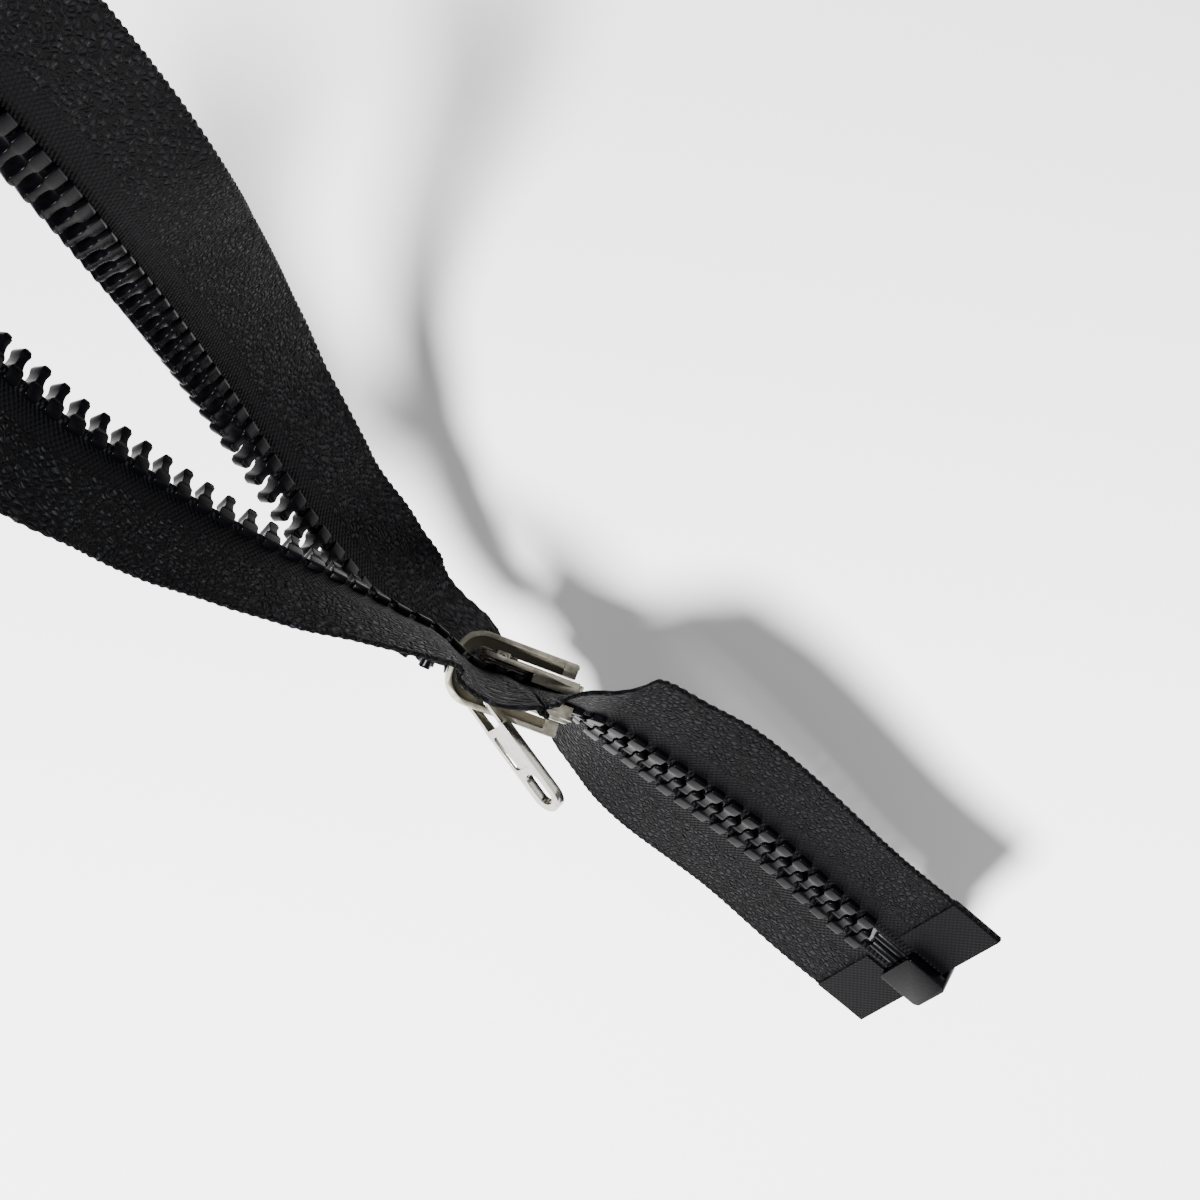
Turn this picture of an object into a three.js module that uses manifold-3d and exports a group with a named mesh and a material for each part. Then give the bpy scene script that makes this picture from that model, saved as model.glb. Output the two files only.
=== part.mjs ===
// Separating (open-end) zipper with moulded teeth and a reversible slider, in millimetres, +Z up.
// The zipper hangs from its two tape tops, half open, with half a twist through its slider.
import * as THREE from 'three';
import { mergeVertices } from 'three/addons/utils/BufferGeometryUtils.js';
import Module from 'manifold-3d';

// ---- driving dimensions ----
const PITCH = 2.9; // from one tooth to the next on the same tape
const TOOTH_HALF_THICKNESS = 1.2;
const CORD_HALF_THICKNESS = 0.7;
const CORD_INNER = 1.7; // the cord's edges, measured out from the chain's centre line
const CORD_OUTER = 2.9;
const TAPE_INNER = 3.2;
const TAPE_OUTER = 15.2;
const TAPE_THICKNESS = 0.6;
const GAP = 0.3; // left between neighbouring pieces
const TAPE_STEP = 2.9; // length of one bending step of tape

// Stations along each stringer, from the slider's tail: negative towards the tape tops.
const SLIDER_STRETCH = [-15.95, 1.45];
const FOLD = [24.65, 30.45];
const ROW_END = 47.85;
const TAPE_END = 58.3;
const ROW_TOP = -126.15;
const TAPE_TOP = -142;

// Slider, in its own frame: x towards its tail, y across the chain, z through the tape.
const SLIDER_CENTRE = new THREE.Vector3(-10.6, -9.8, 33);
const SLIDER_AXIS = new THREE.Vector3(0.934, -0.358, -0.16).normalize();
const SLIDER_TURN = 96; // degrees that its y axis stands up from the level
const TAIL_X = 8;
const WING_IN = 1.62;
const WING_OUT = 2.2;
const SPINE_OUT = 2.55;
const FLANGE_IN = 0.6;
const RAIL_MOUTH_X = -7.8;
const RAIL_TAIL_X = 7.1;
const RAIL_OUT = 4.65;
const RAIL_IN = 2.8;
const RIM = 0.6; // depth of the rail's outer rim
const RIM_HALF_WIDTH = 1.1;
const WEB_HALF_WIDTH = 0.5;
const RAIL_BLOCK = 1.8; // length of the solid block at each end of the rail
const RIVET = { x: -2.2, z: -2.3, radius: 0.5, bore: 0.25, halfLength: 1.7 };
const PULL_PIVOT = { x: -3.2, z: 3.4 };
const PULL_ANGLE = 33; // degrees between the pull and the slider's axis
const PULL_ROLL = -24; // degrees that the pull leans over about its own length, in its play
const PULL_LENGTH = 16.4;
const PULL_HALF_WIDTH = 2.35;

// Each stringer's line: place in millimetres over the table, then the angle in degrees at which
// the tape leaves its cord, and how much further its outer edge turns.
const RIGHT_LINE = [
  [-76, 44.5, 141, 4, 0],
  [-74, 41.5, 128, 5, 0],
  [-72, 38.5, 115, 7, 0],
  [-69.5, 35, 102, 10, 0],
  [-67.5, 32, 89, 14, 0],
  [-65.5, 29.5, 79, 18, 0],
  [-62, 27, 70, 28, 0],
  [-59, 24, 66, 33, 0],
  [-55.5, 20.5, 62, 37, 0],
  [-51.5, 17.5, 58, 41, 0],
  [-45.5, 13, 53, 48.5, 0],
  [-39.5, 9, 49.5, 58, -2],
  [-34, 5.5, 46.5, 70, -10],
  [-29.5, 2.5, 44, 82, -15],
  [-23.5, -1.5, 40.5, 93, -18],
  [-19.5, -4, 38, 96, -20],
];
const LEFT_LINE = [
  [-60, 48, 145, 180, 0],
  [-57.5, 45, 133, 180, 0],
  [-54.5, 42, 121, 180, 0],
  [-50.5, 37, 107, 182, 0],
  [-48.5, 34, 98, 187, 0],
  [-46.5, 29, 77, 197, 0],
  [-43.5, 22, 56.5, 206, 0],
  [-40.5, 16, 47, 211, 0],
  [-35, 7, 39.5, 221, -10],
  [-31, 2, 36, 233, -30],
  [-27.5, -2, 33.5, 245, -48],
  [-23.5, -5.5, 32, 255, -58],
  [-20, -7.5, 31, 264, -62],
];
const CLOSED_LINE = [
  [0, -14.8, 31, 113, 20, 2],
  [5, -18.3, 30, 121, 15, 4],
  [10, -22, 28.5, 127, 12, 2],
  [20, -29.5, 25, 130, 0, 0],
  [30, -38.5, 22, 130, 0, 0],
  [42, -48.5, 20.5, 130, 0, 0],
  [51, -57, 20.5, 130, 0, 0],
];
const HELD_POINT = new THREE.Vector3(-65, 42.5, 127); // between the two tape tops

// ---- materials ----
const material = (color, roughness, metalness) =>
  new THREE.MeshStandardMaterial({ color, roughness, metalness });
const TAPE_FINISH = material(0x1e1f23, 0.9, 0);
const PLASTIC_FINISH = material(0x1a1a1c, 0.45, 0);
const FILM_FINISH = material(0x222226, 0.35, 0);
const NICKEL_FINISH = material(0x96948a, 0.38, 1);
const BRIGHT_NICKEL_FINISH = material(0xc9c7c0, 0.15, 1);
const STEEL_FINISH = material(0x8f9194, 0.3, 1);

// ---- solids ----
const wasm = await Module();
wasm.setup();

function toManifold(geometry) {
  const bare = geometry.clone();
  bare.deleteAttribute('normal');
  bare.deleteAttribute('uv');
  const merged = mergeVertices(bare, 1e-4);
  return new wasm.Manifold(new wasm.Mesh({
    numProp: 3,
    vertProperties: new Float32Array(merged.attributes.position.array),
    triVerts: new Uint32Array(merged.index.array),
  }));
}

function toGeometry(solid) {
  const mesh = solid.getMesh();
  const geometry = new THREE.BufferGeometry();
  geometry.setAttribute('position', new THREE.BufferAttribute(mesh.vertProperties, 3));
  geometry.setIndex(new THREE.BufferAttribute(mesh.triVerts, 1));
  return geometry;
}

const join = (...geometries) => toGeometry(wasm.Manifold.union(geometries.map(toManifold)));
const cut = (geometry, ...tools) =>
  toGeometry(toManifold(geometry).subtract(wasm.Manifold.union(tools.map(toManifold))));

function block(x0, x1, y0, y1, z0, z1) {
  const geometry = new THREE.BoxGeometry(x1 - x0, y1 - y0, z1 - z0);
  return geometry.translate((x0 + x1) / 2, (y0 + y1) / 2, (z0 + z1) / 2);
}

const rod = (radius, y0, y1, x, z, sides = 16) =>
  new THREE.CylinderGeometry(radius, radius, y1 - y0, sides).translate(x, (y0 + y1) / 2, z);

// An outline in x and y, made solid from z0 to z1.
function slab(shape, z0, z1, curveSegments = 5) {
  const options = { depth: z1 - z0, bevelEnabled: false, curveSegments };
  return new THREE.ExtrudeGeometry(shape, options).translate(0, 0, z0);
}

// An outline in x and z, made solid between -halfWidth and halfWidth in y.
function plate(shape, halfWidth, curveSegments = 6) {
  const geometry = slab(shape, -halfWidth, halfWidth, curveSegments);
  return geometry.rotateX(Math.PI / 2);
}

function roundedOutline(x0, x1, y0, y1, r0, r1 = r0) {
  const shape = new THREE.Shape();
  shape.moveTo(x0 + r0, y0);
  shape.lineTo(x1 - r1, y0);
  shape.absarc(x1 - r1, y0 + r1, r1, -Math.PI / 2, 0, false);
  shape.absarc(x1 - r1, y1 - r1, r1, 0, Math.PI / 2, false);
  shape.absarc(x0 + r0, y1 - r0, r0, Math.PI / 2, Math.PI, false);
  shape.absarc(x0 + r0, y0 + r0, r0, Math.PI, Math.PI * 1.5, false);
  return shape;
}

// ---- the slider's frame and the stringers' lines ----
const UP = new THREE.Vector3(0, 0, 1);

// The direction across the chain at an angle from the level, square to the tangent.
function across(tangent, degrees) {
  const level = new THREE.Vector3().crossVectors(tangent, UP).normalize();
  const raised = new THREE.Vector3().crossVectors(level, tangent);
  const angle = THREE.MathUtils.degToRad(degrees);
  return level.multiplyScalar(Math.cos(angle)).addScaledVector(raised, Math.sin(angle));
}

const SLIDER_ACROSS = across(SLIDER_AXIS, SLIDER_TURN);
const SLIDER_THROUGH = new THREE.Vector3().crossVectors(SLIDER_AXIS, SLIDER_ACROSS);

function sliderPoint(x, y) {
  return SLIDER_CENTRE.clone().addScaledVector(SLIDER_AXIS, x).addScaledVector(SLIDER_ACROSS, y);
}

// Control points inside the slider: x there, how far each row stands off the middle, and how
// many degrees the right and the left tape's outer edges lean from the slider's own angle.
const IN_SLIDER = [
  [-5.6, 2.3, -20, -42],
  [-2.8, 1.2, -22, -22],
  [0, 0.3, -22, -10],
  [3.5, 0, -10, -2],
  [TAIL_X, 0, 16, 12],
];

function stringerLine(openLine, side, turned) {
  const places = [];
  const angles = [];
  const add = (place, base, lean) => {
    places.push(place);
    angles.push(new THREE.Vector3(base, lean, 0));
  };
  openLine.forEach(([x, y, z, base, lean]) => add(new THREE.Vector3(x, y, z), base, lean));
  IN_SLIDER.forEach(([x, off, rightLean, leftLean]) =>
    add(sliderPoint(x, side * off), SLIDER_TURN + turned, side > 0 ? rightLean : leftLean));
  CLOSED_LINE.forEach(([x, y, z, base, rightLean, leftLean]) =>
    add(new THREE.Vector3(x, y, z), base + turned, side > 0 ? rightLean : leftLean));
  const line = new THREE.CatmullRomCurve3(places, false, 'centripetal');
  line.arcLengthDivisions = 3000;
  const turns = new THREE.CatmullRomCurve3(angles, false, 'catmullrom', 0.5);
  const tailT = (openLine.length + IN_SLIDER.length - 1) / (places.length - 1);
  const lengths = line.getLengths();
  const at = tailT * line.arcLengthDivisions;
  const tail = THREE.MathUtils.lerp(lengths[Math.floor(at)], lengths[Math.ceil(at)], at % 1);
  return { line, turns, tail, length: line.getLength() };
}

const RIGHT = stringerLine(RIGHT_LINE, 1, 0);
const LEFT = stringerLine(LEFT_LINE, -1, 180);

// The point of a stringer at a station s, v out across its tape and w through it.
function stringerFrame(stringer, s) {
  const t = stringer.line.getUtoTmapping((s + stringer.tail) / stringer.length);
  const angles = stringer.turns.getPoint(t);
  return {
    place: stringer.line.getPoint(t),
    tangent: stringer.line.getTangent(t),
    base: angles.x,
    lean: angles.y,
  };
}

function stringerPoint(stringer, s, v, w) {
  const { place, tangent, base, lean } = stringerFrame(stringer, s);
  const curl = lean * THREE.MathUtils.clamp(v / TAPE_OUTER, 0, 1);
  const chord = across(tangent, base + curl / 2);
  const normal = new THREE.Vector3().crossVectors(tangent, across(tangent, base + curl));
  return place.addScaledVector(chord, v).addScaledVector(normal, w);
}

// Bends a straight piece, laid out in (s, v, w), along its stringer.
function bend(geometry, stringer) {
  const position = geometry.attributes.position;
  for (let i = 0; i < position.count; i += 1) {
    const p = stringerPoint(stringer, position.getX(i), position.getY(i), position.getZ(i));
    position.setXYZ(i, p.x, p.y, p.z);
  }
  return geometry;
}

// ---- the object ----
const zipper = new THREE.Group();
zipper.position.copy(HELD_POINT).negate();

function addPiece(parent, name, geometry, finish) {
  const mesh = new THREE.Mesh(geometry, finish.clone());
  mesh.name = name;
  parent.add(mesh);
  return mesh;
}

function frameGroup(place, xAxis, yAxis) {
  const group = new THREE.Group();
  const zAxis = new THREE.Vector3().crossVectors(xAxis, yAxis);
  group.quaternion.setFromRotationMatrix(new THREE.Matrix4().makeBasis(xAxis, yAxis, zAxis));
  group.position.copy(place);
  zipper.add(group);
  return group;
}

// A group whose x runs along the chain and y across it, at a station of a stringer.
function stationGroup(stringer, s) {
  const { place, tangent, base } = stringerFrame(stringer, s);
  return frameGroup(place, tangent, across(tangent, base));
}

// ---- tape ----
function strip(stringer, s0, s1, v0, v1, w, thickness, columns) {
  const rows = Math.max(1, Math.round((s1 - s0) / TAPE_STEP));
  const geometry = new THREE.BoxGeometry(s1 - s0, v1 - v0, thickness, rows, columns, 1);
  return bend(geometry.translate((s0 + s1) / 2, (v0 + v1) / 2, w), stringer);
}

const STRETCHES = {
  open: [TAPE_TOP, SLIDER_STRETCH[0]],
  slider: [SLIDER_STRETCH[0], SLIDER_STRETCH[1]],
  closed: [SLIDER_STRETCH[1], FOLD[0]],
  fold: [FOLD[0], FOLD[1]],
  tail: [FOLD[1], TAPE_END],
};

function addTape(side, stringer) {
  Object.entries(STRETCHES).forEach(([stretch, [s0, s1]]) => {
    const tape = strip(stringer, s0 + GAP / 2, s1 - GAP / 2, TAPE_INNER, TAPE_OUTER, 0,
      TAPE_THICKNESS, 4);
    addPiece(zipper, `${side}_tape_${stretch}`, tape, TAPE_FINISH);
  });
}

// ---- teeth ----
// Half of one tooth's outline with its cord: s from the tooth's middle, v, and half thickness.
const TOOTH_OUTLINE = [
  [PITCH / 2, CORD_OUTER, CORD_HALF_THICKNESS],
  [PITCH / 2, CORD_INNER, CORD_HALF_THICKNESS],
  [0.86, CORD_INNER, TOOTH_HALF_THICKNESS],
  [0.5, 0.55, TOOTH_HALF_THICKNESS],
  [0.7, -0.4, TOOTH_HALF_THICKNESS],
  [0.42, -0.95, TOOTH_HALF_THICKNESS],
];
const TOOTH_BASE = [0.86, CORD_OUTER, TOOTH_HALF_THICKNESS];

function toothCell() {
  const right = [TOOTH_BASE, ...TOOTH_OUTLINE];
  const left = right.map(([s, v, h]) => [-s, v, h]).reverse();
  return [...right, ...left];
}

// A row of teeth on its cord: cells that share their end walls' corners.
function toothRow(stringer, s0, s1) {
  const cell = toothCell();
  const outline = cell.map(([s, v]) => new THREE.Vector2(s, v));
  const caps = THREE.ShapeUtils.triangulateShape(outline, []);
  const count = Math.round((s1 - s0) / PITCH);
  const positions = [];
  const corner = (i, tooth, top) => {
    const [s, v, h] = cell[i % cell.length];
    let station = s0 + (tooth + 0.5) * PITCH + s;
    if (tooth === 0 && s <= -PITCH / 2) station += GAP / 2;
    if (tooth === count - 1 && s >= PITCH / 2) station -= GAP / 2;
    positions.push(station, v, top ? h : -h);
  };
  const isSeam = (i) => {
    const a = cell[i][0];
    const b = cell[(i + 1) % cell.length][0];
    return a === b && Math.abs(a) === PITCH / 2;
  };
  for (let tooth = 0; tooth < count; tooth += 1) {
    caps.forEach(([a, b, c]) => {
      [a, b, c].forEach((i) => corner(i, tooth, true));
      [c, b, a].forEach((i) => corner(i, tooth, false));
    });
    cell.forEach((point, i) => {
      const isEnd = (point[0] < 0 && tooth === 0) || (point[0] > 0 && tooth === count - 1);
      if (isSeam(i) && !isEnd) return;
      [[i, false], [i, true], [i + 1, true]].forEach(([k, top]) => corner(k, tooth, top));
      [[i, false], [i + 1, true], [i + 1, false]].forEach(([k, top]) => corner(k, tooth, top));
    });
  }
  const geometry = new THREE.BufferGeometry();
  geometry.setAttribute('position', new THREE.Float32BufferAttribute(positions, 3));
  return bend(mergeVertices(geometry, 1e-4), stringer);
}

function addTeeth(side, stringer, offset) {
  const rows = { ...STRETCHES, open: [ROW_TOP, STRETCHES.open[1]], tail: [STRETCHES.tail[0], ROW_END] };
  Object.entries(rows).forEach(([stretch, [s0, s1]]) => {
    const row = toothRow(stringer, s0 + offset, s1 + offset);
    addPiece(zipper, `${side}_teeth_${stretch}`, row, PLASTIC_FINISH);
  });
}

const TOP_STOP = { halfLength: 1.7, inner: -0.4, halfThickness: 1.45, corner: 0.5 };

function addTopStop(side, stringer, offset) {
  const { halfLength, inner, halfThickness, corner } = TOP_STOP;
  const group = stationGroup(stringer, ROW_TOP + offset - GAP - halfLength);
  const outline = roundedOutline(-halfLength, halfLength, inner, CORD_OUTER, corner);
  addPiece(group, `${side}_top_stop`, slab(outline, -halfThickness, halfThickness, 3),
    PLASTIC_FINISH);
}

// ---- lower end: pins, box and film ----
const BOX_STATION = 56.5;
const BOX = { halfLength: 3.1, halfWidth: 3.3, halfHeight: 2, corner: 0.9, cavity: 2.3 };
const BOX_SOCKET = { halfWidth: 2.3, halfHeight: 1.2, slotHalfHeight: 0.65 };
const PIN_RADIUS = 0.85;
const FILM = { length: 7.5, thickness: 0.2, margin: 0.1 };

function addRetainerBox() {
  const group = stationGroup(RIGHT, BOX_STATION);
  const { halfLength, halfWidth, halfHeight, corner, cavity } = BOX;
  const socket = BOX_SOCKET;
  const outline = roundedOutline(-halfLength, halfLength, -halfWidth, halfWidth, corner / 2, corner);
  const mouth = -halfLength - 1;
  const shell = cut(
    slab(outline, -halfHeight, halfHeight, 4),
    block(mouth, cavity, -socket.halfWidth, socket.halfWidth, -socket.halfHeight, socket.halfHeight),
    block(mouth, cavity, -halfWidth - 1, halfWidth + 1, -socket.slotHalfHeight,
      socket.slotHalfHeight),
  );
  addPiece(group, 'retainer_box', shell, PLASTIC_FINISH);
  const addPin = (name, start, y) => {
    const end = cavity - 2 * GAP;
    const pin = new THREE.CylinderGeometry(PIN_RADIUS, PIN_RADIUS, end - start, 12);
    pin.rotateZ(Math.PI / 2).translate((start + end) / 2, y, 0);
    addPiece(group, name, pin, PLASTIC_FINISH);
  };
  addPin('retainer_pin', ROW_END + PITCH / 2 - GAP - BOX_STATION, PIN_RADIUS + GAP / 2);
  addPin('insertion_pin', ROW_END + PITCH / 2 + GAP - BOX_STATION, -PIN_RADIUS - GAP / 2);
}

function addFilms(side, stringer) {
  const { length, thickness, margin } = FILM;
  const lift = TAPE_THICKNESS / 2 + thickness;
  [['front', lift], ['back', -lift]].forEach(([face, w]) => {
    const film = strip(stringer, TAPE_END - length, TAPE_END - GAP / 2, BOX.halfWidth + GAP,
      TAPE_OUTER - margin, w, thickness, 4);
    addPiece(zipper, `${side}_film_${face}`, film, FILM_FINISH);
  });
}

// ---- slider ----
const sliderGroup = frameGroup(SLIDER_CENTRE, SLIDER_AXIS, SLIDER_ACROSS);

// A wing's outline: shoulders at the mouth, narrowing to the tail.
function wingOutline() {
  const shape = new THREE.Shape();
  shape.moveTo(TAIL_X, -3.2);
  shape.quadraticCurveTo(TAIL_X, -4.1, TAIL_X - 0.9, -4.15);
  shape.lineTo(1, -4.35);
  shape.quadraticCurveTo(-1.2, -4.5, -3, -5.3);
  shape.quadraticCurveTo(-5, -5.5, -5.2, -3.8);
  shape.lineTo(-5.2, 3.8);
  shape.quadraticCurveTo(-5, 5.5, -3, 5.3);
  shape.quadraticCurveTo(-1.2, 4.5, 1, 4.35);
  shape.lineTo(TAIL_X - 0.9, 4.15);
  shape.quadraticCurveTo(TAIL_X, 4.1, TAIL_X, 3.2);
  return shape;
}

function diamondOutline() {
  const shape = new THREE.Shape();
  shape.moveTo(-3.9, 0);
  shape.quadraticCurveTo(-4.4, 0.35, -4.9, 0.7);
  shape.quadraticCurveTo(-5.6, 0.6, -5.7, 0);
  shape.quadraticCurveTo(-5.6, -0.6, -4.9, -0.7);
  shape.quadraticCurveTo(-4.4, -0.35, -3.9, 0);
  return shape;
}

function flange(side, face) {
  const [y0, y1] = side > 0 ? [3.35, 4.2] : [-4.2, -3.35];
  const [z0, z1] = face > 0 ? [FLANGE_IN, WING_IN + 0.1] : [-WING_IN - 0.1, -FLANGE_IN];
  return block(1.6, TAIL_X - 0.5, y0, y1, z0, z1);
}

function sliderBody() {
  const overlap = 0.1;
  const pieces = [slab(diamondOutline(), -WING_IN - overlap, WING_IN + overlap, 4)];
  [1, -1].forEach((face) => {
    const span = (z0, z1) => (face > 0 ? [z0, z1] : [-z1, -z0]);
    pieces.push(slab(wingOutline(), ...span(WING_IN, WING_OUT), 4));
    pieces.push(block(-0.9, TAIL_X - 0.2, -1.3, 1.3, ...span(WING_OUT - overlap, SPINE_OUT)));
    pieces.push(flange(1, face), flange(-1, face));
  });
  const ears = [0.75, -1.35].map((y) => block(-3, -1.4, y, y + 0.6, -2.95, -WING_IN - overlap));
  const window = block(-4.3, 1.6, -0.7, 0.7, -3.2, -WING_IN);
  const bore = rod(RIVET.radius + 0.03, -2, 2, RIVET.x, RIVET.z);
  return cut(join(...pieces, ...ears), window, bore);
}

// The rail's side outline, from its outer edge in to a given depth at each side.
function railOutline(depth, x1) {
  const shape = new THREE.Shape();
  const outer = 3.4;
  const inner = Math.max(outer - depth, 0.4);
  const tip = 0.5;
  shape.moveTo(x1, -RAIL_OUT + tip);
  shape.absarc(x1 - tip, -RAIL_OUT + tip, tip, 0, -Math.PI / 2, true);
  shape.absarc(RAIL_MOUTH_X + outer, -RAIL_OUT + outer, outer, -Math.PI / 2, -Math.PI, true);
  shape.absarc(RAIL_MOUTH_X + outer, RAIL_OUT - outer, outer, Math.PI, Math.PI / 2, true);
  shape.absarc(x1 - tip, RAIL_OUT - tip, tip, Math.PI / 2, 0, true);
  shape.lineTo(x1, RAIL_OUT - depth);
  const x0 = RAIL_MOUTH_X + depth;
  shape.absarc(x0 + inner, RAIL_OUT - depth - inner, inner, Math.PI / 2, Math.PI, false);
  shape.absarc(x0 + inner, -RAIL_OUT + depth + inner, inner, Math.PI, Math.PI * 1.5, false);
  shape.lineTo(x1, -RAIL_OUT + depth);
  return shape;
}

function guideRail() {
  const depth = RAIL_OUT - RAIL_IN;
  const blocks = [RAIL_IN, -RAIL_OUT + 0.1].map((z) =>
    block(RAIL_TAIL_X - RAIL_BLOCK, RAIL_TAIL_X - 0.1, -RIM_HALF_WIDTH, RIM_HALF_WIDTH, z,
      z + depth - 0.1));
  const lug = block(-3, -1.4, -WEB_HALF_WIDTH + 0.05, WEB_HALF_WIDTH - 0.05, -RAIL_IN - 0.2, -1.68);
  const solid = join(
    plate(railOutline(RIM, RAIL_TAIL_X), RIM_HALF_WIDTH),
    plate(railOutline(depth, RAIL_TAIL_X - 0.2), WEB_HALF_WIDTH),
    lug,
    ...blocks,
  );
  return cut(solid, rod(RIVET.radius + 0.08, -1, 1, RIVET.x, RIVET.z));
}

function hollowRivet() {
  const { x, z, radius, bore, halfLength } = RIVET;
  return cut(rod(radius, -halfLength, halfLength, x, z),
    rod(bore, -halfLength - 1, -0.9, x, z, 10), rod(bore, 0.9, halfLength + 1, x, z, 10));
}

// A hook under the rail's window, just clear of the teeth while the pull hangs free.
function lockPawl() {
  const halfWidth = 0.45;
  return join(
    block(-1.0, 1.2, -halfWidth, halfWidth, -2.5, -2.1),
    block(0.6, 1.2, -halfWidth, halfWidth, -2.3, -1.55),
  );
}

function lockSpring() {
  const halfWidth = 0.4;
  return join(
    block(-4.1, -3.3, -halfWidth, halfWidth, -2.05, -1.9),
    block(-4.1, -3.95, -halfWidth, halfWidth, -2.6, -1.9),
  );
}

function addSlider() {
  addPiece(sliderGroup, 'slider_body', sliderBody(), NICKEL_FINISH);
  addPiece(sliderGroup, 'guide_rail', guideRail(), NICKEL_FINISH);
  addPiece(sliderGroup, 'rail_rivet', hollowRivet(), NICKEL_FINISH);
  addPiece(sliderGroup, 'lock_pawl', lockPawl(), STEEL_FINISH);
  addPiece(sliderGroup, 'lock_spring', lockSpring(), STEEL_FINISH);
}

// ---- pull ----
const EYE_END = 4.1; // where the pull's two arms meet, from the pivot
const ARM_IN = RIM_HALF_WIDTH + 0.5;
const ARM_OUT = 2.25;
const ARM_HALF_THICKNESS = 0.5;
const PULL_HALF_THICKNESS = 0.55;
const RECESS_FLOOR = 0.3;
const STUD_RADIUS = 0.27;
const STUD_IN = WEB_HALF_WIDTH + 0.3;

function pullTab() {
  const tip = PULL_LENGTH;
  const outline = roundedOutline(EYE_END - 0.7, tip, -PULL_HALF_WIDTH, PULL_HALF_WIDTH, 0.8, 2.3);
  const hole = roundedOutline(tip - 5.4, tip - 1, -1.3, 1.3, 1.2);
  const recess = roundedOutline(EYE_END + 1, tip - 6.4, -1.7, 1.7, 0.5);
  const arms = [[ARM_IN, ARM_OUT], [-ARM_OUT, -ARM_IN]].flatMap(([y0, y1]) => [
    block(0, EYE_END + 0.2, y0, y1, -ARM_HALF_THICKNESS, ARM_HALF_THICKNESS),
    rod(ARM_HALF_THICKNESS, y0, y1, 0, 0),
  ]);
  const studs = [[STUD_IN, ARM_IN + 0.1], [-ARM_IN - 0.1, -STUD_IN]]
    .map(([y0, y1]) => rod(STUD_RADIUS, y0, y1, 0, 0, 12));
  const bar = cut(
    slab(outline, -PULL_HALF_THICKNESS, PULL_HALF_THICKNESS, 6),
    slab(hole, -1, 1, 6),
    block(0, EYE_END, -ARM_IN, ARM_IN, -1, 1),
    slab(recess, RECESS_FLOOR, 1, 3),
    slab(recess, -1, -RECESS_FLOOR, 3),
  );
  return join(bar, ...arms, ...studs);
}

function addPull() {
  const group = new THREE.Group();
  group.position.set(PULL_PIVOT.x, 0, PULL_PIVOT.z);
  group.rotation.set(THREE.MathUtils.degToRad(PULL_ROLL),
    -THREE.MathUtils.degToRad(PULL_ANGLE), 0, 'YXZ');
  sliderGroup.add(group);
  addPiece(group, 'pull_tab', pullTab(), BRIGHT_NICKEL_FINISH);
}

// ---- assembly ----
[['right', RIGHT, 0], ['left', LEFT, PITCH / 2]].forEach(([side, stringer, offset]) => {
  addTape(side, stringer);
  addTeeth(side, stringer, offset);
  addTopStop(side, stringer, offset);
  addFilms(side, stringer);
});
addRetainerBox();
addSlider();
addPull();

export default zipper;
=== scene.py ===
"""A separating zipper hung from its tape tops over a pale table, half open, with a half twist.

Lengths in the tables are millimetres over the table; the row frame's origin is HELD_POINT.
"""

import math

import bmesh
import bpy
import numpy as np
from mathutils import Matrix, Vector


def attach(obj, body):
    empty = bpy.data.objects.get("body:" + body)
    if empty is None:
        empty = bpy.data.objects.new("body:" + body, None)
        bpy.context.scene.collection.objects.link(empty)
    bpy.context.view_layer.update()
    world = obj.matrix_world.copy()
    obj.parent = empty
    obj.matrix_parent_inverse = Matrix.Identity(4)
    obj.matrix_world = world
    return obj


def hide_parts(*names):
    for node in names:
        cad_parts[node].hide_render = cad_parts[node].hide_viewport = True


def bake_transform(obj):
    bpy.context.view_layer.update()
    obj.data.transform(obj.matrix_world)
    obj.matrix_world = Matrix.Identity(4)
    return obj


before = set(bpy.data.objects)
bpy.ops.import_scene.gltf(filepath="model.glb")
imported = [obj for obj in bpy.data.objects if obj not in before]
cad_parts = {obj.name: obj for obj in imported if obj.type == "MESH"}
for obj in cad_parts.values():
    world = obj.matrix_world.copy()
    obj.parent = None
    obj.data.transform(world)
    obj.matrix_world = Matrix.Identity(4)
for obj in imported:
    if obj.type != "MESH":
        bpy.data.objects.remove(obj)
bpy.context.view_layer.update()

# ---- driving dimensions, as in the CAD ----
PITCH = 2.9
TAPE_OUTER = 15.2
TAPE_TOP, TAPE_END = -142.0, 58.3
ROW_TOP, ROW_END = -126.15, 47.85
FOLD = (24.65, 30.45)
HELD_POINT = np.array([-65.0, 42.5, 127.0])
SLIDER_CENTRE = np.array([-10.6, -9.8, 33.0])
SLIDER_TURN = 96
WEB_HALF_WIDTH = 0.5  # of the guide rail
CAMERA_HEIGHT = 285
TAIL_X = 8
FILM_LENGTH = 7.5
FILM_INNER, FILM_OUTER = 3.6, TAPE_OUTER - 0.1
FILM_LIFT = (0.29, 0.48)  # the film's two faces, measured from the tape's middle
FILM_STEP = 0.35

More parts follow.
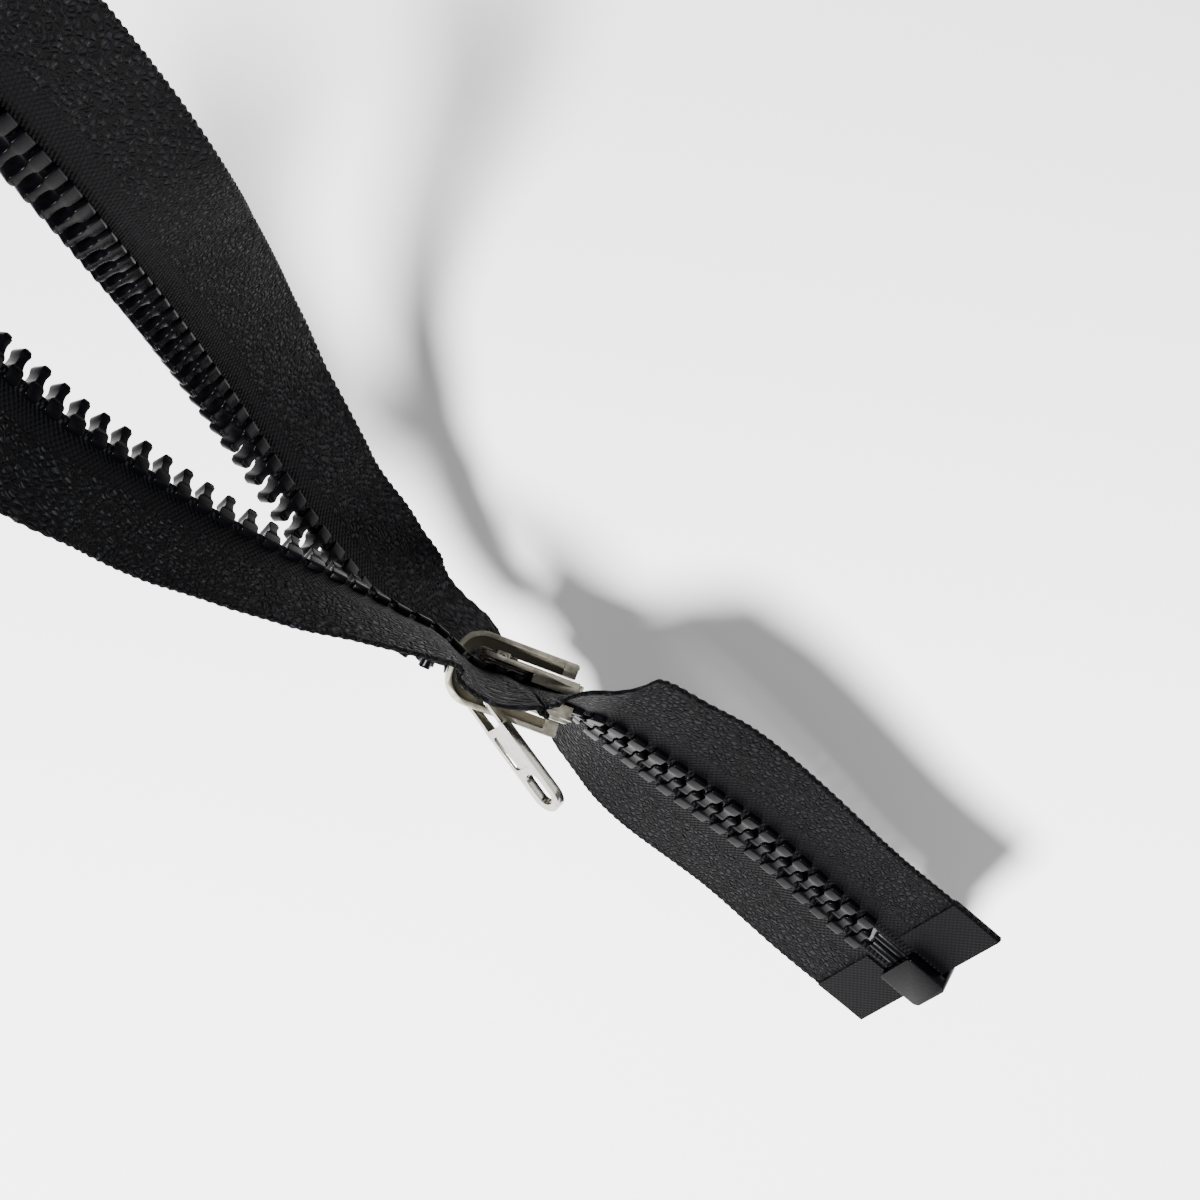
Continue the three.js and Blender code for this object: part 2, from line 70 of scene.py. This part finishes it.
RIGHT_LINE = [
    (-76, 44.5, 141, 4, 0),
    (-74, 41.5, 128, 5, 0),
    (-72, 38.5, 115, 7, 0),
    (-69.5, 35, 102, 10, 0),
    (-67.5, 32, 89, 14, 0),
    (-65.5, 29.5, 79, 18, 0),
    (-62, 27, 70, 28, 0),
    (-59, 24, 66, 33, 0),
    (-55.5, 20.5, 62, 37, 0),
    (-51.5, 17.5, 58, 41, 0),
    (-45.5, 13, 53, 48.5, 0),
    (-39.5, 9, 49.5, 58, -2),
    (-34, 5.5, 46.5, 70, -10),
    (-29.5, 2.5, 44, 82, -15),
    (-23.5, -1.5, 40.5, 93, -18),
    (-19.5, -4, 38, 96, -20),
]
LEFT_LINE = [
    (-60, 48, 145, 180, 0),
    (-57.5, 45, 133, 180, 0),
    (-54.5, 42, 121, 180, 0),
    (-50.5, 37, 107, 182, 0),
    (-48.5, 34, 98, 187, 0),
    (-46.5, 29, 77, 197, 0),
    (-43.5, 22, 56.5, 206, 0),
    (-40.5, 16, 47, 211, 0),
    (-35, 7, 39.5, 221, -10),
    (-31, 2, 36, 233, -30),
    (-27.5, -2, 33.5, 245, -48),
    (-23.5, -5.5, 32, 255, -58),
    (-20, -7.5, 31, 264, -62),
]
IN_SLIDER = [
    (-5.6, 2.3, -20, -42),
    (-2.8, 1.2, -22, -22),
    (0, 0.3, -22, -10),
    (3.5, 0, -10, -2),
    (TAIL_X, 0, 16, 12),
]
CLOSED_LINE = [
    (0, -14.8, 31, 113, 20, 2),
    (5, -18.3, 30, 121, 15, 4),
    (10, -22, 28.5, 127, 12, 2),
    (20, -29.5, 25, 130, 0, 0),
    (30, -38.5, 22, 130, 0, 0),
    (42, -48.5, 20.5, 130, 0, 0),
    (51, -57, 20.5, 130, 0, 0),
]


# ---- the stringers' lines ----
def unit(v):
    v = np.asarray(v, float)
    return v / np.linalg.norm(v, axis=-1, keepdims=True)


def across(tangent, degrees):
    """The direction across the chain at an angle from the level, square to the tangent."""
    level = unit(np.stack([tangent[..., 1], -tangent[..., 0], 0 * tangent[..., 0]], -1))
    angle = np.radians(np.asarray(degrees, float))[..., None]
    return np.cos(angle) * level + np.sin(angle) * np.cross(level, tangent)


SLIDER_AXIS = unit([0.934, -0.358, -0.16])
SLIDER_ACROSS = across(SLIDER_AXIS, SLIDER_TURN)


def spline(points, t, centripetal):
    """A Catmull-Rom curve through the points, at t from 0 to 1."""
    p = np.asarray(points, float)
    at = (len(p) - 1) * np.asarray(t, float)
    i = np.minimum(np.floor(at).astype(int), len(p) - 2)
    w = (at - i)[:, None]
    ends = np.vstack([2 * p[0] - p[1], p, 2 * p[-1] - p[-2]])
    a, b, c, d = (ends[i + k] for k in range(4))
    if centripetal:
        d0, d1, d2 = ((((v - u) ** 2).sum(1) ** 0.25)[:, None] for u, v in ((a, b), (b, c), (c, d)))
        m1 = ((b - a) / d0 - (c - a) / (d0 + d1) + (c - b) / d1) * d1
        m2 = ((c - b) / d1 - (d - b) / (d1 + d2) + (d - c) / d2) * d1
    else:
        m1, m2 = (c - a) / 2, (d - b) / 2
    return b + m1 * w + (3 * (c - b) - 2 * m1 - m2) * w**2 + (2 * (b - c) + m1 + m2) * w**3


LINE_STEPS = 3000
TANGENT_STEP = 1e-4


class Stringer:
    """One side of the zipper: its line, and how its tape leans from it, by station."""

    def __init__(self, open_line, side, turned):
        self.places = [row[:3] for row in open_line]
        self.angles = [row[3:] for row in open_line]
        for x, off, *leans in IN_SLIDER:
            self.places.append(SLIDER_CENTRE + SLIDER_AXIS * x + SLIDER_ACROSS * side * off)
            self.angles.append([SLIDER_TURN + turned, leans[side < 0]])
        for x, y, z, base, *leans in CLOSED_LINE:
            self.places.append([x, y, z])
            self.angles.append([base + turned, leans[side < 0]])
        self.t = np.linspace(0, 1, LINE_STEPS + 1)
        line = spline(self.places, self.t, True)
        steps = np.linalg.norm(np.diff(line, axis=0), axis=1)
        self.along = np.concatenate([[0], np.cumsum(steps)])
        tail = (len(open_line) + len(IN_SLIDER) - 1) / (len(self.places) - 1)
        self.tail = np.interp(tail, self.t, self.along)

    def frame(self, s):
        t = np.interp(np.asarray(s, float) + self.tail, self.along, self.t)
        near, far = (np.clip(t + step, 0, 1) for step in (-TANGENT_STEP, TANGENT_STEP))
        tangent = unit(spline(self.places, far, True) - spline(self.places, near, True))
        return spline(self.places, t, True), tangent, spline(self.angles, t, False)

    def points(self, svw):
        """Row-frame points, in metres, of points given as (s, v, w) in millimetres."""
        svw = np.asarray(svw, float)
        place, tangent, angles = self.frame(svw[:, 0])
        curl = angles[:, 1] * np.clip(svw[:, 1] / TAPE_OUTER, 0, 1)
        chord = across(tangent, angles[:, 0] + curl / 2)
        normal = np.cross(tangent, across(tangent, angles[:, 0] + curl))
        return to_row(place + chord * svw[:, 1:2] + normal * svw[:, 2:3])


def to_row(points):
    """Metres in the row frame, from millimetres over the table."""
    return (np.asarray(points, float) - HELD_POINT) / 1000


SIDES = {"right": Stringer(RIGHT_LINE, 1, 0), "left": Stringer(LEFT_LINE, -1, 180)}


# ---- nodes ----
class Shader:
    """A principled material and a short way to wire nodes into it."""

    def __init__(self, name, colour, roughness, metallic=0.0, **sockets):
        self.material = bpy.data.materials.new(name)
        self.material.use_nodes = True
        self.tree = self.material.node_tree
        self.principled = self.tree.nodes["Principled BSDF"]
        self.set("Base Color", (*colour, 1))
        self.set("Roughness", roughness)
        self.set("Metallic", metallic)
        for socket, value in sockets.items():
            self.set(socket.replace("_", " "), value)

    def set(self, socket, value):
        self.principled.inputs[socket].default_value = value

    def node(self, kind, inputs=(), **settings):
        node = self.tree.nodes.new(kind)
        for key, value in settings.items():
            setattr(node, key, value)
        for key, value in dict(inputs).items():
            if isinstance(value, bpy.types.NodeSocket):
                self.tree.links.new(value, node.inputs[key])
            else:
                node.inputs[key].default_value = value
        return node

    def math(self, operation, a, b=0.0, c=0.0, clamp=False):
        inputs = {0: a, 1: b, 2: c}
        return self.node("ShaderNodeMath", inputs, operation=operation, use_clamp=clamp).outputs[0]

    def step(self, value, low, high):
        """0 below low, 1 above high."""
        inputs = {"Value": value, "From Min": low, "From Max": high}
        return self.node("ShaderNodeMapRange", inputs, interpolation_type="SMOOTHSTEP").outputs[0]

    def mix(self, factor, a, b):
        node = self.node("ShaderNodeMix", data_type="RGBA")
        for socket, value in ((0, factor), (6, a), (7, b)):
            if isinstance(value, bpy.types.NodeSocket):
                self.tree.links.new(value, node.inputs[socket])
            else:
                node.inputs[socket].default_value = value if socket == 0 else (*value, 1)
        return node.outputs[2]

    def noise(self, scale, detail=2.0, vector=None, roughness=0.5):
        inputs = {"Scale": scale, "Detail": detail, "Roughness": roughness}
        if vector is None:
            vector = self.node("ShaderNodeTexCoord").outputs["Object"]
        inputs["Vector"] = vector
        return self.node("ShaderNodeTexNoise", inputs).outputs[0]

    def along(self, vector, direction, offset):
        """How far a vector reaches from a plane, on either side."""
        inputs = {0: vector, 1: tuple(float(c) for c in direction)}
        reach = self.node("ShaderNodeVectorMath", inputs, operation="DOT_PRODUCT").outputs["Value"]
        return self.math("ABSOLUTE", self.math("SUBTRACT", reach, float(offset)))

    def link(self, output, socket):
        self.tree.links.new(output, self.principled.inputs[socket])

    def bump(self, height, distance, strength=1.0):
        inputs = {"Height": height, "Distance": distance, "Strength": strength}
        self.link(self.node("ShaderNodeBump", inputs).outputs[0], "Normal")
        return self


# ---- materials ----
METAL_RELIEF, PLASTIC_RELIEF = 0.00001, 0.00001
TAPE_ROUGHNESS = 0.6
BAND_BLEND = 0.6
WARP = 0.35


def woven_tape(name, relief, shine, rib_end):
    """Black polyester: coarse grain over most of the width, fine cross ribs up to some width, and a
    painted highlight on the weave's raised crowns.
    """
    shader = Shader(name, TAPE_BLACK, TAPE_ROUGHNESS, Specular_IOR_Level=0.05)
    uv = shader.node("ShaderNodeUVMap").outputs[0]
    parts = shader.node("ShaderNodeSeparateXYZ", {0: uv}).outputs
    s, v = parts[0], parts[1]
    warp = shader.math("MULTIPLY", shader.noise(0.9, 2, uv), WARP)
    skewed = shader.node("ShaderNodeCombineXYZ", {
        0: shader.math("MULTIPLY", shader.math("ADD", s, warp), 1 / GRAIN_LENGTH),
        1: shader.math("MULTIPLY", shader.math("ADD", v, warp), 1 / GRAIN_WIDTH),
    }).outputs[0]
    inputs = {"Vector": skewed, "Scale": 1.0, "Randomness": 0.85}
    cells = shader.node("ShaderNodeTexVoronoi", inputs, feature="DISTANCE_TO_EDGE")
    grain = shader.step(cells.outputs["Distance"], 0.0, 0.34)
    ribs = shader.math("SINE", shader.math("MULTIPLY", s, math.tau / RIB_PITCH))
    rows = shader.math("SINE", shader.math("MULTIPLY", v, math.tau / ROW_PITCH))
    ribs = shader.math("MULTIPLY_ADD", shader.math("MULTIPLY", ribs, rows), 0.22, 0.5)
    outer = shader.step(v, rib_end - BAND_BLEND, rib_end + BAND_BLEND)
    weave = shader.math("ADD", shader.math("MULTIPLY", grain, outer),
                        shader.math("MULTIPLY", ribs, shader.math("SUBTRACT", 1.0, outer)))
    fibres = shader.noise(9.0, 2, uv)
    height = shader.math("MULTIPLY_ADD", fibres, 0.12, weave)
    crown = shader.step(weave, 0.45, 1.0)
    # painted highlight: the weave's raised crowns get a lighter colour, as if catching the light
    shader.link(shader.mix(crown, TAPE_BLACK, TAPE_CROWN_HIGHLIGHT), "Base Color")
    shader.link(shader.math("MULTIPLY_ADD", crown, -shine, TAPE_ROUGHNESS), "Roughness")
    return shader.bump(height, relief).material


def metal(name, colour, dull, roughness, wear, dull_share, painted_web_shade=None):
    """Plated metal with faint mottling; painted shade darkens a recessed web, the faces within some
    distance of a plane that face along its normal.
    """
    shader = Shader(name, colour, roughness, 1.0)
    mottle = shader.step(shader.noise(900, 4), 0.35, 0.7)
    tone = shader.mix(shader.math("MULTIPLY", mottle, dull_share), colour, dull)
    if painted_web_shade:
        coordinates = shader.node("ShaderNodeTexCoord").outputs
        reach = shader.along(coordinates["Object"], painted_web_shade["normal"], painted_web_shade["offset"])
        facing = shader.along(coordinates["Normal"], painted_web_shade["normal"], 0)
        beyond = shader.step(reach, painted_web_shade["depth"] * 1.05, painted_web_shade["depth"] * 1.2)
        shaded_web = shader.math("SUBTRACT", 1, beyond)
        shaded_web = shader.math("MULTIPLY", shaded_web, shader.step(facing, 0.5, 0.9))
        # painted shade: the rail's recessed web is given a darker colour where shade falls in it
        tone = shader.mix(shaded_web, tone, painted_web_shade["colour"])
    shader.link(tone, "Base Color")
    scuffs = shader.math("MULTIPLY_ADD", shader.noise(2500, 3), wear, roughness - wear / 2)
    shader.link(scuffs, "Roughness")
    return shader.bump(shader.noise(1600, 3), METAL_RELIEF).material


def plastic(name, colour, roughness):
    """Moulded plastic with a faintly uneven surface."""
    shader = Shader(name, colour, roughness, Specular_IOR_Level=0.06)
    unevenness = shader.math("MULTIPLY_ADD", shader.noise(1400, 2), 0.15, roughness - 0.07)
    shader.link(unevenness, "Roughness")
    return shader.bump(shader.noise(2200, 2), PLASTIC_RELIEF).material


TOOTH_BLACK = (0.0005, 0.0005, 0.0008)
TAPE_BLACK = (0.0003, 0.0003, 0.0005)
# the lighter colour painted on the weave's crowns as their highlight
TAPE_CROWN_HIGHLIGHT = (0.0028, 0.003, 0.0046)
GRAIN_LENGTH, GRAIN_WIDTH = 0.72, 0.62
RIB_PITCH, ROW_PITCH, RIB_BAND_END = 0.62, 0.9, 6.2
# Painted shade for the guide rail's recessed web: the plane it lies about, its depth, and the darker
# colour painted on it.
RAIL_WEB_PAINTED_SHADE = {
    "normal": SLIDER_ACROSS,
    "offset": np.dot(to_row(SLIDER_CENTRE), SLIDER_ACROSS),
    "depth": WEB_HALF_WIDTH / 1000,
    "colour": (0.06, 0.055, 0.042),
}
ANTIQUE, TARNISH = (0.25, 0.235, 0.195), (0.1, 0.092, 0.073)
POLISHED, HAZE = (0.36, 0.35, 0.32), (0.2, 0.19, 0.165)
STEEL, DARK_STEEL = (0.2, 0.2, 0.205), (0.1, 0.1, 0.1)

MATERIALS = {
    "tape": woven_tape("woven_tape", 0.00035, 0.2, RIB_BAND_END),
    "film": woven_tape("film_over_tape", 0.00008, 0.25, 2 * TAPE_OUTER),
    "teeth_plastic": plastic("tooth_plastic", TOOTH_BLACK, 0.27),
    "slider_nickel": metal("antique_nickel", ANTIQUE, TARNISH, 0.33, 0.16, 0.6, RAIL_WEB_PAINTED_SHADE),
    "pull_nickel": metal("polished_nickel", POLISHED, HAZE, 0.17, 0.08, 0.4),
    "spring_steel": metal("spring_steel", STEEL, DARK_STEEL, 0.3, 0.1, 0.5),
}


# ---- pieces ----
def new_piece(name, points, faces, slot, uvs=None, sharp=40):
    mesh = bpy.data.meshes.new(name)
    mesh.from_pydata(np.asarray(points).tolist(), [], faces)
    if uvs is not None:
        layer = mesh.uv_layers.new(name="UVMap")
        corners = np.empty(len(mesh.loops), int)
        mesh.loops.foreach_get("vertex_index", corners)
        layer.data.foreach_set("uv", np.asarray(uvs, np.float32)[corners].ravel())
    return shown(mesh, name, slot, sharp)


def shown(mesh, name, slot, sharp):
    mesh.polygons.foreach_set("use_smooth", [True] * len(mesh.polygons))
    mesh.set_sharp_from_angle(angle=math.radians(sharp))
    mesh.materials.clear()
    mesh.materials.append(MATERIALS[slot])
    piece = bpy.data.objects.new(name, mesh)
    bpy.context.scene.collection.objects.link(piece)
    return piece


def lofted(rings):
    """Faces of a closed solid through rings of points, all rings the same length."""
    count, size = len(rings), len(rings[0])
    faces = [
        (a * size + i, a * size + (i + 1) % size, (a + 1) * size + (i + 1) % size, (a + 1) * size + i)
        for a in range(count - 1)
        for i in range(size)
    ]
    faces.append(tuple(reversed(range(size))))
    faces.append(tuple(range((count - 1) * size, count * size)))
    return np.concatenate(rings), faces


def follow_fold(piece):
    start, end = (SIDES["right"].points([[s, 0, 0]])[0] for s in FOLD)
    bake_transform(piece)


# The tape's half profile: v out from the chain, and half thickness, round its corded edge.
CORD = [(1.72, 0.0), (1.78, 0.3), (1.95, 0.54), (2.2, 0.68), (2.5, 0.68), (2.76, 0.54), (2.95, 0.36)]
SELVEDGE = [(14.3, 0.28), (14.65, 0.31), (14.9, 0.34), (15.1, 0.26), (15.2, 0.0)]
SCALLOP_PITCH, SCALLOP = 1.1, 0.1
SCALLOP_START, SCALLOP_BLEND = 14.1, 0.9
TAPE_HALF_THICKNESS = 0.28


def add_tape(side):
    stringer = SIDES[side]
    middle = [(v, TAPE_HALF_THICKNESS) for v in np.linspace(3.2, 13.9, 24)]
    half = CORD + middle + SELVEDGE
    profile = np.array(half + [(v, -w) for v, w in half[-2:0:-1]])
    rings, uvs = [], []
    for s in np.arange(TAPE_TOP, TAPE_END + 0.01, SCALLOP_PITCH / 4):
        edge = np.clip((profile[:, 0] - SCALLOP_START) / SCALLOP_BLEND, 0, 1)
        v = profile[:, 0] + SCALLOP * edge * math.cos(math.tau * s / SCALLOP_PITCH)
        rings.append(np.stack([np.full(len(v), s), v, profile[:, 1]], 1))
        uvs.append(np.stack([np.full(len(v), s), profile[:, 0]], 1))
    points, faces = lofted(rings)
    tape = new_piece(f"{side}_tape", stringer.points(points), faces, "tape", np.concatenate(uvs), 60)
    stretches = ("open", "slider", "closed", "fold", "tail")
    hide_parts(*(f"{side}_tape_{stretch}" for stretch in stretches))
    follow_fold(tape)
    return tape


def add_film(side, face, sign):
    """The stiff film over the tape's lower end, on one face."""
    stringer = SIDES[side]
    low, high = FILM_LIFT
    columns = np.linspace(FILM_INNER, FILM_OUTER, 12)
    outer_face = [(v, sign * high) for v in columns]
    inner_face = [(v, sign * low) for v in columns[::-1]]
    profile = np.array(outer_face + inner_face)[::sign]
    rings, uvs = [], []
    for s in np.arange(TAPE_END - FILM_LENGTH, TAPE_END - 0.1, FILM_STEP):
        rings.append(np.stack([np.full(len(profile), s), profile[:, 0], profile[:, 1]], 1))
        uvs.append(np.stack([np.full(len(profile), s), profile[:, 0]], 1))
    points, faces = lofted(rings)
    film = new_piece(f"{side}_film_{face}_finished", stringer.points(points), faces, "film",
                     np.concatenate(uvs), 30)
    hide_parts(f"{side}_film_{face}")
    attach(film, "tail")


# A tooth's outline from its base on the tape to its tip: v, half width and half height.
TOOTH = [
    (3.3, 0.8, 0.9), (3.24, 0.88, 1.04), (3.1, 0.94, 1.14), (2.95, 0.96, 1.16), (1.95, 0.96, 1.16),
    (1.72, 0.93, 1.15), (1.52, 0.78, 1.12), (1.35, 0.62, 1.08), (0.9, 0.52, 1.05), (0.5, 0.5, 1.04),
    (0.25, 0.54, 1.04), (0.0, 0.62, 1.06), (-0.25, 0.67, 1.08), (-0.42, 0.67, 1.06),
    (-0.48, 0.64, 0.99), (-0.58, 0.59, 0.99), (-0.66, 0.54, 1.05), (-0.8, 0.42, 1.0),
    (-0.88, 0.26, 0.9), (-0.92, 0.1, 0.7),
]
CORNER_POINTS = 4
TOOTH_CORNER = 0.11


def rounded_ring(half_width, half_height, corner):
    """A rounded rectangle about the origin."""
    corner = min(corner, half_width * 0.95, half_height * 0.95)
    ring = []
    for quarter, (x, y) in enumerate(((1, 1), (-1, 1), (-1, -1), (1, -1))):
        for k in range(CORNER_POINTS):
            angle = math.pi / 2 * (quarter + k / (CORNER_POINTS - 1))
            ring.append((x * (half_width - corner) + corner * math.cos(angle),
                         y * (half_height - corner) + corner * math.sin(angle)))
    return ring


def add_teeth(side, offset):
    stringer = SIDES[side]
    rings = [
        np.array([(s, v, w) for s, w in rounded_ring(half_width, half_height, TOOTH_CORNER)])
        for v, half_width, half_height in TOOTH
    ]
    tooth, tooth_faces = lofted(rings)
    points, faces = [], []
    count = round((ROW_END - ROW_TOP) / PITCH)
    for i in range(count):
        faces += [tuple(k + i * len(tooth) for k in face) for face in tooth_faces]
        points.append(tooth + [ROW_TOP + offset + (i + 0.5) * PITCH, 0, 0])
    row = new_piece(f"{side}_teeth", stringer.points(np.concatenate(points)), faces, "teeth_plastic")
    stretches = ("open", "slider", "closed", "fold", "tail")
    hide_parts(*(f"{side}_teeth_{stretch}" for stretch in stretches))
    follow_fold(row)
    return row


def softened(node, body, slot, bevel, sharp=35):
    """The CAD node's own shape with its edges rounded."""
    bm = bmesh.new()
    bm.from_mesh(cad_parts[node].data)
    bmesh.ops.remove_doubles(bm, verts=bm.verts, dist=2e-6)
    bmesh.ops.dissolve_limit(bm, angle_limit=math.radians(1), verts=bm.verts, edges=bm.edges)
    edges = [e for e in bm.edges if e.is_manifold and e.calc_face_angle() > math.radians(sharp)]
    bmesh.ops.bevel(bm, geom=edges, offset=bevel / 1000, segments=3, profile=0.5,
                    affect="EDGES", clamp_overlap=True)
    mesh = bpy.data.meshes.new(f"{node}_finished")
    bm.to_mesh(mesh)
    bm.free()
    piece = shown(mesh, f"{node}_finished", slot, 40)
    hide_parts(node)
    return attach(piece, body)


for side, offset in (("right", 0), ("left", PITCH / 2)):
    tape = add_tape(side)
    add_teeth(side, offset)
    softened(f"{side}_top_stop", "stringers", "teeth_plastic", 0.25)
    add_film(side, "front", 1)
    add_film(side, "back", -1)

softened("retainer_box", "tail", "teeth_plastic", 0.3)
softened("retainer_pin", "tail", "teeth_plastic", 0.1)
softened("insertion_pin", "tail", "teeth_plastic", 0.1)
softened("slider_body", "slider", "slider_nickel", 0.12)
softened("rail_rivet", "slider", "slider_nickel", 0.05)
softened("guide_rail", "guide_rail", "slider_nickel", 0.16)
softened("pull_tab", "pull", "pull_nickel", 0.16)
for name in ("lock_pawl", "lock_spring"):
    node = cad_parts[name]
    node.data.materials.clear()
    node.data.materials.append(MATERIALS["spring_steel"])


# ---- floor, camera and light ----
# Painted light falloff: the table is painted lighter towards the bottom, nearer the key light, and
# darker towards the top.
FLOOR_LIT_NEAR, FLOOR_SHADED_FAR = (0.93, 0.92, 0.925), (0.6, 0.595, 0.595)
FLOOR_HALF_WIDTH = 2.5
SENSOR_WIDTH = 36
FOCAL_LENGTH = 63
WORLD_STRENGTH = 0.4


def add_floor():
    half, height = FLOOR_HALF_WIDTH, -HELD_POINT[2] / 1000
    mesh = bpy.data.meshes.new("floor")
    corners = ((-half, -half), (half, -half), (half, half), (-half, half))
    mesh.from_pydata([(x, y, height) for x, y in corners], [], [(0, 1, 2, 3)])
    shader = Shader("pale_table", (0.8, 0.795, 0.795), 0.6, Specular_IOR_Level=0.2)
    place = shader.node("ShaderNodeTexCoord").outputs["Object"]
    y = shader.node("ShaderNodeSeparateXYZ", {0: place}).outputs[1]
    # painted light falloff from near the key light to far from it
    distance = shader.step(y, -0.11, 0.06)
    shader.link(shader.mix(distance, FLOOR_LIT_NEAR, FLOOR_SHADED_FAR), "Base Color")
    mesh.materials.append(shader.material)
    floor = bpy.data.objects.new("floor", mesh)
    bpy.context.scene.collection.objects.link(floor)


def add_area_light(name, location, target, size, energy):
    light = bpy.data.lights.new(name, "AREA")
    light.shape, light.size, light.energy = "DISK", size, energy
    lamp = bpy.data.objects.new(name, light)
    lamp.location = location
    lamp.rotation_euler = (Vector(target) - Vector(location)).to_track_quat("-Z", "Y").to_euler()
    bpy.context.scene.collection.objects.link(lamp)


def add_camera():
    data = bpy.data.cameras.new("camera")
    data.sensor_width, data.lens = SENSOR_WIDTH, FOCAL_LENGTH
    data.clip_start, data.clip_end = 0.01, 10
    camera = bpy.data.objects.new("camera", data)
    camera.location = to_row([0, 0, CAMERA_HEIGHT])
    bpy.context.scene.collection.objects.link(camera)
    bpy.context.scene.camera = camera


add_floor()
add_area_light("key", (-0.25, -0.32, 0.95), (0.067, -0.046, -0.12), size=0.22, energy=72)
add_area_light("fill", (0.9, 0.3, 0.7), (0.05, -0.05, -0.1), size=0.9, energy=4)
world = bpy.data.worlds.new("studio")
world.use_nodes = True
world.node_tree.nodes["Background"].inputs[0].default_value = (1, 1, 1, 1)
world.node_tree.nodes["Background"].inputs[1].default_value = WORLD_STRENGTH
bpy.context.scene.world = world
add_camera()
